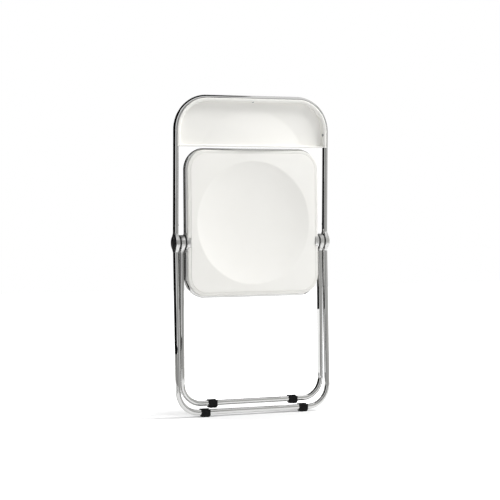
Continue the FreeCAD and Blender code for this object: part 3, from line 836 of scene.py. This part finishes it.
def back_stations():
    """The back hoop's centre line from the panel's lower edge, with the inward direction at each point."""
    stations = []
    bend_start = back_reach - BACK_BEND
    for step in range(LEG_STEPS):
        w = panel_bottom + (bend_start - panel_bottom) * step / LEG_STEPS
        stations.append((Vector((-frame_x, w)), Vector((1, 0))))
    for corner_x, first in ((BACK_BEND - frame_x, math.pi), (frame_x - BACK_BEND, math.pi / 2)):
        for step in range(BACK_ARC_STEPS + 1):
            angle = first - math.pi / 2 * step / BACK_ARC_STEPS
            out = Vector((math.cos(angle), math.sin(angle)))
            stations.append((Vector((corner_x, bend_start)) + out * BACK_BEND, -out))
        if first == math.pi:
            for step in range(1, CROWN_STEPS):
                x = (frame_x - BACK_BEND) * (2 * step / CROWN_STEPS - 1)
                stations.append((Vector((x, back_reach)), Vector((0, -1))))
    for base, inward in stations[LEG_STEPS - 1 :: -1]:
        stations.append((Vector((-base.x, base.y)), -inward))
    return stations


def bulge(x, w):
    """How far the sheet swells to the rear at a point."""
    radius = math.hypot(x, w - bulge_centre)
    return soft_step(BULGE_HEIGHT * (1 - (radius / DISH_RADIUS) ** 2), BULGE_SOFTNESS)


def back_sheet(stations, inset, level):
    """A patch between the rim at an inset and the lower edge: rows of (x, v, w) from the edge upward."""
    border = [base + inward * inset for base, inward in stations]
    left, top = border[: LEG_STEPS + 1], border[LEG_STEPS : len(border) - LEG_STEPS]
    right = border[: -LEG_STEPS - 2 : -1]
    columns = len(top) - 1
    rows = []
    for row in range(LEG_STEPS + 1):
        up = row / LEG_STEPS
        line = []
        for column in range(columns + 1):
            along = column / columns
            low, high = left[0].lerp(right[0], along), left[-1].lerp(right[-1], along)
            across = left[row].lerp(right[row], along)
            spot = across + low.lerp(top[column], up) - low.lerp(high, up)
            line.append((spot.x, level - bulge(*spot), spot.y))
        rows.append(line)
    return rows


print("back outline:", len(back_stations()), "points; bulge:", BULGE_HEIGHT, "mm high")

# %% Loft the back panel
SHEET_EDGE = 2.0
FRONT_EDGE = 4.0
FRONT_ROUND = 0.8
CREST_ROUND = 1.2
CREST_FOOT = 0.5


def back_panel():
    """The rim carried along the back hoop, with both faces of the sheet stretched inside it."""
    stations = back_stations()
    rim = CHANNEL + SHELL
    front = SHEET_SETBACK + SHELL
    turns = [math.pi / 2 * step / QUARTER_STEPS for step in range(1, QUARTER_STEPS + 1)]
    section = rounded(
        [(rim + SHEET_FILLET + SHEET_EDGE, SHEET_SETBACK, 0), (rim, SHEET_SETBACK, SHEET_FILLET)]
        + [(rim, -rim, RIM_ROUND), (RIM_EDGE, -rim, CREST_ROUND), (RIM_EDGE, -CHANNEL, CREST_FOOT)]
        + [(CHANNEL * math.sin(turn), -CHANNEL * math.cos(turn), 0) for turn in turns]
        + [(CHANNEL, front, FRONT_ROUND), (CHANNEL + FRONT_EDGE, front, 0)]
    )
    rows_of_rim = []
    for inset, depth in section:
        row = []
        for base, inward in stations:
            spot = base + inward * inset
            row.append((spot.x, depth, spot.y))
        rows_of_rim.append(row)
    count = len(stations)
    points = [placed(*spot, BACK_LEAN) for row in rows_of_rim for spot in row]
    faces = ring_faces(len(rows_of_rim), count, closed_rings=False)
    for column in (0, count - 1):
        faces.append(tuple(row * count + column for row in range(len(section))))
    lower_rows = []
    for inset, level in ((section[0][0], SHEET_SETBACK), (section[-1][0], front)):
        rows = back_sheet(stations, inset, level)
        first = len(points)
        width = len(rows[0])
        points += [placed(*spot, BACK_LEAN) for line in rows for spot in line]
        for quad in ring_faces(len(rows), width, closed_rings=False):
            faces.append(tuple(first + index for index in quad))
        lower_rows.append(range(first, first + width))
    rear_row, front_row = lower_rows
    for column in range(width - 1):
        after = column + 1
        faces.append((rear_row[column], rear_row[after], front_row[after], front_row[column]))
    return mesh_piece("moulded_back_panel", points, faces)


back_shell = back_panel()
print("back panel lofted with", len(back_shell.data.vertices), "points")

# %% Add the bead and finish the back
LIP_RISE = 3.4
LIP_PROUD = 9.5
LIP_EDGE = 0.5
LIP_FILLET = 3.0
LIP_STEPS = 80
SEAM = 0.6


def lower_lip():
    """The bead along the panel's lower edge, which follows the bulge of the sheet."""
    half = frame_x - CHANNEL - SHELL / 2
    low, high = panel_bottom - SEAM, panel_bottom + LIP_RISE
    top = high + LIP_FILLET + SEAM
    rings = []
    for step in range(LIP_STEPS + 1):
        x = half * (2 * step / LIP_STEPS - 1)
        level = SHEET_SETBACK - bulge(x, panel_bottom)
        front, rear = level + SHELL - SEAM, level - LIP_PROUD
        section = rounded(
            [
                (front, top, 0),
                (front, low, LIP_EDGE),
                (rear, low, LIP_EDGE),
                (rear, high, LIP_EDGE),
                (level + SEAM, high, LIP_FILLET),
                (level + SEAM, top, 0),
                (front, top, 0),
            ]
        )
        rings.append([placed(x, v, w, BACK_LEAN) for v, w in section[:-1]])
    return loft("lip", rings)


combine(back_shell, [lower_lip()], "UNION")
finished(back_shell, "main_frame", "white_plastic", white_abs, "back_panel")

# %% [markdown]
# ## Feet
#
# Each leg frame stands on two black clips pushed onto its cross rail: a C that grips the tube, with a
# flat bevelled sole below that is rounded up at its ends, and with its rear jaw a little lower than
# the other. A block could be cut to this, but the section is one closed outline, so it is drawn with
# its arcs, carried along the rail, and softened along every edge the way a moulding is.

# %% Make the feet
FOOT_LENGTH = 25.0
FOOT_WALL = 2.3
FOOT_SOLE = 5.5
FOOT_FLAT = 14.0
FOOT_BEVEL = 5.5
FOOT_ROUND = 1.2
BEVEL_ROUND = 1.0
FLAT_ROUND = 0.8
NEAR_JAW_DROP = 2.2
SOLE_ROUND = 5.2
SOLE_STEPS = 6
FOOT_SLIT = 5.0
FOOT_EDGE = 0.7
GRIP_STEPS = 40


def foot(name, node, reach, lean, tilt):
    """A clip foot with its bore on the rail, placed by the middle of its solid's box."""
    low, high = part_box(node)
    middle_x = (low.x + high.x) / 2 / MM
    side, bottom = TUBE_RADIUS + FOOT_WALL, -(TUBE_RADIUS + FOOT_SOLE)
    slit = FOOT_SLIT / 2
    outline = rounded(
        [
            (slit, side, 0),
            (side, side, FOOT_ROUND),
            (side, bottom + FOOT_BEVEL, BEVEL_ROUND),
            (FOOT_FLAT / 2, bottom, FLAT_ROUND),
            (-FOOT_FLAT / 2, bottom, FLAT_ROUND),
            (-side, bottom + FOOT_BEVEL, BEVEL_ROUND),
            (-side, side - NEAR_JAW_DROP, FOOT_ROUND),
            (-slit, side - NEAR_JAW_DROP, 0),
        ]
    )
    grip = math.asin(slit / TUBE_RADIUS)
    for step in range(GRIP_STEPS + 1):
        angle = grip + (2 * math.pi - 2 * grip) * step / GRIP_STEPS
        outline.append(Vector((-TUBE_RADIUS * math.sin(angle), TUBE_RADIUS * math.cos(angle))))
    rail = placed(middle_x, 0, reach, lean) / MM
    stand = Matrix.Rotation(math.radians(tilt), 3, "X")
    turns = [math.pi / 2 * step / SOLE_STEPS for step in range(SOLE_STEPS + 1)]
    ends = [(SOLE_ROUND * (1 - math.cos(turn)), SOLE_ROUND * (1 - math.sin(turn))) for turn in turns]
    slices = [(inset - FOOT_LENGTH / 2, rise) for inset, rise in ends]
    slices += [(FOOT_LENGTH / 2 - inset, rise) for inset, rise in reversed(ends)]
    rings = []
    for x, rise in slices:
        rings.append([(rail + stand @ Vector((x, v, max(w, bottom + rise)))) * MM for v, w in outline])
    return soften(loft(name, rings), FOOT_EDGE)


foot_sets = (
    ("front_foot", "main_frame", front_leg_reach, FRONT_LEG_LEAN, 0.0),
    ("rear_foot", "rear_leg", rear_leg_reach, REAR_LEG_LEAN, SEAT_LEAN),
)
for node, body, reach, lean, tilt in foot_sets:
    for side_name, sign in sides:
        node_name = node + "_" + side_name
        clip = foot("black_" + node_name, node_name, reach, lean, tilt)
        finished(clip, body, "foot_plastic", foot_nylon, node_name)

# %% [markdown]
# ## Small fasteners
#
# Pan-head screws with a cross recess hold both panels to their tubes, and blackened dome rivets hold
# the tubes on the hubs. A plain cylinder would look blunt, so a profile is turned for each head and
# shank, and two crossed blocks cut the recess. The back's heads sit in shallow round pockets.

# %% Shape a screw
SCREW_RADIUS = 1.75
SCREW_LENGTH = 9.0
HEAD_RADIUS = 3.6
HEAD_HEIGHT = 1.6
CROSS_WIDTH = 0.9
CROSS_SPAN = 3.6
CROSS_DEPTH = 1.0
CROSS_CLEAR = 1.0
CROSS_TAPER = 0.6
HEAD_ROUND = 1.5
HEAD_FOOT = 0.2
SCREW_POINT = 1.5
SCREW_SIDES = 40


def four_corners(low, high):
    """The corners of a rectangle, from two of them."""
    return (low, (high[0], low[1]), high, (low[0], high[1]))


def along_axis(seat, out):
    """Puts a turned shape at its seat, with along running out into the tube."""
    across = out.orthogonal().normalized()
    other = out.cross(across)
    return lambda along, a, b: (seat + out * along + across * a + other * b) * MM


def screw(seat, out):
    """A pan-head screw with a cross recess, its head below the seat and its shank out into the tube."""
    place = along_axis(seat, out)
    outline = rounded(
        [(-HEAD_HEIGHT, 0, 0), (-HEAD_HEIGHT, HEAD_RADIUS, HEAD_ROUND), (0, HEAD_RADIUS, HEAD_FOOT)]
        + [(0, SCREW_RADIUS, HEAD_FOOT), (SCREW_LENGTH - SCREW_POINT, SCREW_RADIUS, 0), (SCREW_LENGTH, 0, 0)]
    )
    body = lathe("screw", outline, place, SCREW_SIDES)
    tools = []
    long, short = CROSS_SPAN / 2, CROSS_WIDTH / 2
    for half_a, half_b in ((long, short), (short, long)):
        rings = []
        for along, share in ((-HEAD_HEIGHT - CROSS_CLEAR, 1.0), (CROSS_DEPTH - HEAD_HEIGHT, CROSS_TAPER)):
            a, b = half_a * share, half_b * share
            rings.append([place(along, *corner) for corner in four_corners((-a, -b), (a, b))])
        tools.append(loft("cross", rings))
    return combine(body, tools, "DIFFERENCE")


print("screw head:", 2 * HEAD_RADIUS, "mm across")

# %% Seat the screws in their panels
SPOT_DEPTH = 0.8
SPOT_GAP = 0.4
BACK_SCREW_TILT = 30.0
BACK_SCREW_RISE = 35.0
SEAT_SCREW_HALF_SPACING = 100.0
SEAT_SIDE_SCREW = 110.0
SPOT_CLEAR = 6.0


def joined(name, pieces):
    """One object from several separate bodies, as a set of like fasteners is."""
    shape = bmesh.new()
    for piece in pieces:
        shape.from_mesh(piece.data)
        bpy.data.objects.remove(piece)
    mesh = bpy.data.meshes.new(name)
    shape.to_mesh(mesh)
    shape.free()
    whole = bpy.data.objects.new(name, mesh)
    bpy.context.scene.collection.objects.link(whole)
    return tidy_mesh(whole)


def screw_seats(spots, depth, lean):
    """Where each screw's head sits on its panel, and which way the screw points into the tube."""
    seats = []
    for spot, out in spots:
        direction = (placed(*out, lean) - placed(0, 0, 0, lean)).normalized()
        seats.append((placed(*spot, lean) / MM - direction * depth, direction))
    return seats


def spot_face(seat, out):
    """The shallow round pocket that a back screw's head sits in."""
    radius = HEAD_RADIUS + SPOT_GAP
    outline = [(-SPOT_CLEAR, 0), (-SPOT_CLEAR, radius), (0, radius), (0, 0)]
    return lathe("spot", outline, along_axis(seat, out), SCREW_SIDES)


screw_in, screw_up = math.cos(math.radians(BACK_SCREW_TILT)), math.sin(math.radians(BACK_SCREW_TILT))
back_spots = [((0, 0, back_reach), (0, screw_up, screw_in))]
seat_spots = []
for side_name, sign in sides:
    back_spots.append(((sign * frame_x, 0, panel_bottom + BACK_SCREW_RISE), (sign * screw_in, screw_up, 0)))
    seat_spots.append(((sign * SEAT_SCREW_HALF_SPACING, 0, seat_front_reach), (0, 0, 1)))
    seat_spots.append(((sign * SEAT_SCREW_HALF_SPACING, 0, -seat_rear_reach), (0, 0, -1)))
    seat_spots.append(((sign * seat_x, 0, SEAT_SIDE_SCREW), (sign, 0, 0)))
back_seats = screw_seats(back_spots, CHANNEL + SHELL - SPOT_DEPTH, BACK_LEAN)
seat_seats = screw_seats(seat_spots, CHANNEL + SKIRT, SEAT_LEAN)
combine(back_shell, [spot_face(*spot) for spot in back_seats], "DIFFERENCE")
back_screws = joined("back_panel_cross_screws", [screw(*spot) for spot in back_seats])
finished(back_screws, "main_frame", "steel_fastener", fastener_zinc, "back_panel_screws")
seat_screws = joined("seat_panel_cross_screws", [screw(*spot) for spot in seat_seats])
finished(seat_screws, "seat", "steel_fastener", fastener_zinc, "seat_panel_screws")
print("screws:", len(back_seats), "in the back,", len(seat_seats), "in the seat")

# %% Make the rivets
RIVET_RADIUS = 2.0
RIVET_HEAD_RADIUS = 3.0
RIVET_DOME = 0.45
RIVET_BRIM = 0.4
RIVET_REACH = 48.0
RIVET_LENGTH = 6.0
DOME_STEPS = 6
RIVET_SIDES = 32


def rivet(x, sign, lean):
    """A dome rivet through the inner side of a tube into the hub's spigot."""
    outline = [(-RIVET_DOME, 0)]
    for step in range(1, DOME_STEPS + 1):
        angle = math.pi / 2 * step / DOME_STEPS
        outline.append((-RIVET_DOME * math.cos(angle), RIVET_HEAD_RADIUS * math.sin(angle)))
    outline += [(RIVET_BRIM, RIVET_HEAD_RADIUS), (RIVET_BRIM, RIVET_RADIUS)]
    outline += [(RIVET_LENGTH, RIVET_RADIUS), (RIVET_LENGTH, 0)]
    seat = placed(sign * (x - TUBE_RADIUS), 0, RIVET_REACH, lean) / MM
    return lathe("rivet", outline, along_axis(seat, Vector((sign, 0, 0))), RIVET_SIDES)


rivet_sets = (
    ("frame_rivets", "main_frame", frame_x, (BACK_LEAN, FRONT_LEG_LEAN)),
    ("rear_leg_rivets", "rear_leg", rear_x, (REAR_LEG_LEAN,)),
    ("seat_rivets", "seat", seat_x, (SEAT_LEAN, SEAT_REAR_LEAN)),
)
for node, body, x, leans in rivet_sets:
    made = [rivet(x, sign, lean) for sign in (-1, 1) for lean in leans]
    piece = joined("dome_" + node, made)
    finished(piece, body, "steel_fastener", rivet_steel, node)

# %% [markdown]
# ## Pieces inside the hubs
#
# Pins, bushes, retaining washers and pivot screws sit inside the hubs, where only a sliver of them
# ever shows. Their solids are right as they are, so they keep their shape and get a finish.

# %% Finish the inner pieces
inner_finishes = (
    ("pivot_pin", fastener_zinc),
    ("pivot_washer", fastener_zinc),
    ("pivot_screw", fastener_zinc),
    ("stop_pin", fastener_zinc),
    ("middle_bush", bush_nylon),
    ("inner_bush", bush_nylon),
)
for node, material in inner_finishes:
    for side_name, sign in sides:
        solid = frame["nodes"][node + "_" + side_name]
        solid.data.materials.clear()
        solid.data.materials.append(material)
print("inner pieces finished:", 2 * len(inner_finishes))

# %% [markdown]
# ## Camera
#
# The picture was taken with a long lens from behind the chair and a little to its left, level with
# the middle of the chair. A camera could be aimed by eye, but the tubes show small errors at once, so
# the angle, distance and lens follow from how the parallel tubes converge.

# %% Place the camera
PICTURE_PIXELS = 500
FOCAL_PIXELS = 1749.3
SENSOR_MM = 36.0
CAMERA_YAW = 24.958
CAMERA_PITCH = 0.244
CAMERA_ROLL = -0.768
CAMERA_DISTANCE_MM = 4845.4
AIM_FROM_HUB_MM = Vector((-4.807, 0.0, -22.427))

yaw, pitch, roll = (math.radians(angle) for angle in (CAMERA_YAW, CAMERA_PITCH, CAMERA_ROLL))
toward = Vector((-math.sin(yaw) * math.cos(pitch), -math.cos(yaw) * math.cos(pitch), math.sin(pitch)))
level_right = Vector((math.cos(yaw), -math.sin(yaw), 0.0))
level_up = toward.cross(level_right)
view_right = level_right * math.cos(roll) + level_up * math.sin(roll)
view_up = level_up * math.cos(roll) - level_right * math.sin(roll)
aim = (hub_axis + AIM_FROM_HUB_MM) * MM

lens = bpy.data.cameras.new("picture_camera")
lens.sensor_width = SENSOR_MM
lens.lens = FOCAL_PIXELS / PICTURE_PIXELS * SENSOR_MM
camera = bpy.data.objects.new("picture_camera", lens)
bpy.context.scene.collection.objects.link(camera)
camera.matrix_world = Matrix.Translation(aim + toward * CAMERA_DISTANCE_MM * MM) @ Matrix(
    (view_right, view_up, toward)
).transposed().to_4x4()
bpy.context.scene.camera = camera
print("lens in mm:", round(lens.lens, 1))

# %% [markdown]
# ## Floor and light
#
# The picture has a white studio: a pale floor that runs on without an edge, a bright room and a large
# soft key light high at the right that rakes across the panels, so that their shallow dish and bulge
# show. More lamps could whiten the background, but they would bleach the panels too. So the floor
# keeps the shadow near the chair and glows toward white further off, for the eye alone, and the room
# is white to the eye while its dim ceiling lights the chair less than its walls do.

# %% Build the floor
FLOOR_HALF_M = 12.0
FLOOR_COLOUR = "D0D0D0"
GLOW_NEAR = 0.2
GLOW_FAR = 0.95
GLOW_MIRRORED = 0.4
GLOW_FROM_M = 0.15
GLOW_TO_M = 0.45


def seen_rays(tree):
    """One where a ray comes straight from the camera, off a mirror or through glass."""
    rays = add(tree, "LightPath", {})
    seen = rays.outputs["Is Camera Ray"]
    for kind in ("Is Glossy Ray", "Is Transmission Ray"):
        seen = add(tree, "Math", {0: seen, 1: rays.outputs[kind]}, "Value", operation="MAXIMUM")
    return seen


def studio_floor():
    """A wide pale floor, with a glow that rises away from the chair and is even where it is mirrored."""
    corners = four_corners((-FLOOR_HALF_M, -FLOOR_HALF_M), (FLOOR_HALF_M, FLOOR_HALF_M))
    points = [Vector((x, y, 0)) for x, y in corners]
    floor = mesh_piece("studio_floor", points, [(0, 1, 2, 3)])
    material, tree, shader, place = new_material("pale_studio_floor")
    spot = add(tree, "NewGeometry", {}, "Position")
    away = add(tree, "VectorMath", {0: spot}, "Value", operation="LENGTH")
    ring = {"Value": away, "From Min": GLOW_FROM_M, "From Max": GLOW_TO_M}
    rise = add(tree, "MapRange", ring | {"To Min": GLOW_NEAR, "To Max": GLOW_FAR}, "Result")
    straight = add(tree, "LightPath", {}, "Is Camera Ray")
    either = {"Value": straight, "To Min": GLOW_MIRRORED, "To Max": rise}
    level = add(tree, "MapRange", either, "Result")
    glow = add(tree, "Math", {0: seen_rays(tree), 1: level}, "Value", operation="MULTIPLY")
    wire(tree, shader, {"Base Color": linear(FLOOR_COLOUR), "Roughness": 0.9, "Specular IOR Level": 0.0})
    wire(tree, shader, {"Emission Color": WHITE, "Emission Strength": glow})
    floor.data.materials.append(material)
    return floor


print(studio_floor().name, "reaches", FLOOR_HALF_M, "m each way")

# %% Light the room
# The key lamp is left out of mirrored rays: the cards below are what the chrome shows instead.
WALL_FILL = 1.08
CEILING_FILL = 0.0
KEY_WATTS = 600.0
KEY_SIZE_M = 2.8
KEY_PLACE_M = Vector((3.93, -1.77, 5.5))


def studio_world():
    """A room that is white to the eye, and lights the chair from its walls."""
    world = bpy.data.worlds.new("white_studio")
    bpy.context.scene.world = world
    world.use_nodes = True
    tree = world.node_tree
    tree.nodes.clear()
    place = add(tree, "TexCoord", {}, "Generated")
    height = add(tree, "SeparateXYZ", {"Vector": place}, "Z")
    room = {"Value": height, "To Min": WALL_FILL, "To Max": CEILING_FILL}
    fill = add(tree, "MapRange", room, "Result")
    strength = add(tree, "MapRange", {"Value": seen_rays(tree), "To Min": fill, "To Max": 1.0}, "Result")
    light = add(tree, "Background", {"Color": WHITE, "Strength": strength})
    add(tree, "OutputWorld", {"Surface": light.outputs["Background"]})


def soft_box(name, place, size, watts):
    """A square soft box that faces the chair from a place in metres from the aim point."""
    light = bpy.data.lights.new(name, "AREA")
    light.energy = watts
    light.size = size
    lamp = bpy.data.objects.new(name, light)
    bpy.context.scene.collection.objects.link(lamp)
    lamp.location = aim + place
    lamp.rotation_euler = (-place).to_track_quat("-Z", "Y").to_euler()
    return lamp


studio_world()
key_light = soft_box("key_light", KEY_PLACE_M, KEY_SIZE_M, KEY_WATTS)
key_light.visible_glossy = False
print("key light at", [round(value, 2) for value in key_light.location])

# %% [markdown]
# ## Cards for the chrome
#
# Chrome only looks like chrome if the room has dark places too. A photographer hangs black cloth and
# grey card round a bright piece, and holds narrow flags close to it. A painted sky could do the same,
# but cards can be placed one by one. A black curtain hangs at the left with a grey hem, grey and pale
# ones at the right, a canopy overhead, a mat and a stand at the left, and flags beside the right tubes.
# Only mirrored rays meet them, so they neither shade nor light the panels.

# %% Make cloths and cards
CURTAIN_STEPS = 40


def hung(name, points, faces, hex_colour, strength=1.0):
    """A cloth or card that only mirrored rays meet."""
    cloth = mesh_piece(name, points, faces)
    material, tree, shader, place = new_material("matt_" + name)
    wire(tree, shader, {"Base Color": BLACK, "Specular IOR Level": 0.0})
    wire(tree, shader, {"Emission Color": linear(hex_colour), "Emission Strength": strength})
    cloth.data.materials.append(material)
    cloth.visible_camera = False
    cloth.visible_diffuse = False
    cloth.visible_shadow = False
    return cloth


def curtain(name, radius, first, last, low, high, hex_colour):
    """A curved curtain round the chair, between two angles to the right of the camera in degrees."""
    points = []
    for step in range(CURTAIN_STEPS + 1):
        angle = math.radians(first + (last - first) * step / CURTAIN_STEPS)
        out = toward * math.cos(angle) + level_right * math.sin(angle)
        spot = Vector((aim.x + out.x * radius, aim.y + out.y * radius, 0))
        points += [spot + Vector((0, 0, low)), spot + Vector((0, 0, high))]
    faces = [(2 * n, 2 * n + 2, 2 * n + 3, 2 * n + 1) for n in range(CURTAIN_STEPS)]
    return hung(name, points, faces, hex_colour)


def level_card(name, low, high, height, hex_colour):
    """A flat cloth at one height, between two corners in metres."""
    points = [Vector((x, y, height)) for x, y in four_corners(low, high)]
    return hung(name, points, [(0, 1, 2, 3)], hex_colour)


def flag(name, x, low, high, hex_colour, strength=1.0):
    """A narrow upright card close beside the right tubes, between two corners in metres."""
    points = [Vector((x, y, z)) for y, z in four_corners(low, high)]
    return hung(name, points, [(0, 1, 2, 3)], hex_colour, strength)


print("each curtain hangs in", CURTAIN_STEPS, "strips")

# %% Hang the cards
BLACK_CLOTH = "0E0F10"
HEM_CLOTH = "B8B8B6"
GREY_CLOTH = "9C9C9B"
PALE_CLOTH = "CECECC"
WHITE_CARD = "FFFFFF"
FAR_M = 1.3
NEAR_M = 0.95
STAND_M = 0.69
HEM_M = 0.115
SIDE_TOP_M = 1.3
CANOPY_M = 1.75
MAT_M = 0.17
FLAG_X = 0.2
FLAG_REAR = 0.08
FLAG_CHANGE_M = 0.285

cards = (
    curtain("black_curtain", FAR_M, -195.0, -20.0, HEM_M, CANOPY_M, BLACK_CLOTH),
    curtain("low_curtain", FAR_M, -195.0, 6.0, 0.0, HEM_M, HEM_CLOTH),
    curtain("grey_curtain", NEAR_M, 6.0, 45.0, 0.0, SIDE_TOP_M, GREY_CLOTH),
    curtain("pale_curtain", NEAR_M, 45.0, 165.0, 0.0, SIDE_TOP_M, PALE_CLOTH),
    curtain("black_stand", STAND_M, -50.0, -37.0, 0.0, 0.35, BLACK_CLOTH),
    level_card("black_canopy", (-FAR_M, -0.6), (0.4, FAR_M), CANOPY_M, BLACK_CLOTH),
    level_card("black_mat", (-0.85, -0.5), (-0.3, 0.6), MAT_M, BLACK_CLOTH),
    flag("black_flag", 0.208, (-0.018, 0.51), (FLAG_REAR, 0.75), BLACK_CLOTH),
    flag("low_black_flag", FLAG_X, (-0.002, FLAG_CHANGE_M), (FLAG_REAR, 0.38), BLACK_CLOTH),
    flag("white_flag", FLAG_X, (-0.006, 0.105), (FLAG_REAR, FLAG_CHANGE_M), WHITE_CARD, 1.4),
)
print("cards hung:", len(cards))

# %% [markdown]
# ## Colours of the picture
#
# The picture keeps plain colours, so the view transform is the standard one.

# %% Finish
bpy.context.scene.view_settings.view_transform = "Standard"
